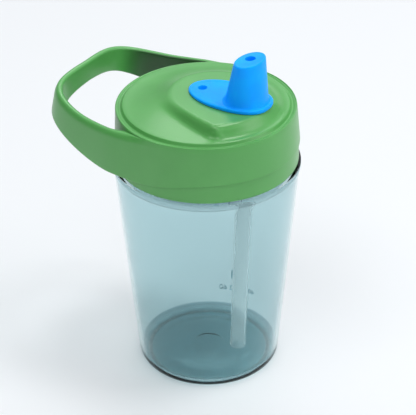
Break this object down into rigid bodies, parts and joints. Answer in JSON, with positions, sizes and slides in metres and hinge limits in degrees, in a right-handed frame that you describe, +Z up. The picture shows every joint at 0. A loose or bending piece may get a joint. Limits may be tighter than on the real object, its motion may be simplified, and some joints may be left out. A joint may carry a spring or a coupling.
{
  "type": "sippy cup",
  "caption": "Child's straw cup: tapered clear tumbler with a screw lid, side carry loop, soft slanted spout with a vent, and a drinking straw inside.",
  "frame": {"origin": "on the cup's axis, in the plane that its foot ring stands on, under the centre of the underside", "axes": "+Z up along the cup's axis, +X towards the spout, so the carry loop reaches out along -X; +Y completes a right-handed frame"},
  "size_m": [0.1022, 0.0772, 0.1462],
  "materials": {
    "clear_cup": "clear gloss, smoky teal tint",
    "lid_plastic": "satin green",
    "seal_silicone": "matt translucent white",
    "spout_silicone": "matt sky blue silicone",
    "clear_straw": "frosted clear"
  },
  "bodies": {
    "cup": {"cup": "clear_cup"},
    "seal": {"lid_seal": "seal_silicone"},
    "lid": {"lid": "lid_plastic"},
    "spout": {"spout": "spout_silicone", "straw": "clear_straw"}
  },
  "joints": [
    {"name": "lid_lift", "type": "slide", "parent": "cup", "child": "seal", "axis": [0, 0, 1], "range_m": [0, 0.00562]},
    {"name": "lid_turn", "type": "hinge", "parent": "seal", "child": "lid", "pos_m": [0, 0, 0.1], "axis": [0, 0, 1], "range_deg": [0, 450]},
    {"name": "spout_pull", "type": "slide", "parent": "lid", "child": "spout", "axis": [0, 0, 1], "range_m": [0, 0.125]}
  ],
  "couplings": [
    {"joint": "lid_lift", "follows": "lid_turn", "m_per_rad": 0.0007162}
  ]
}
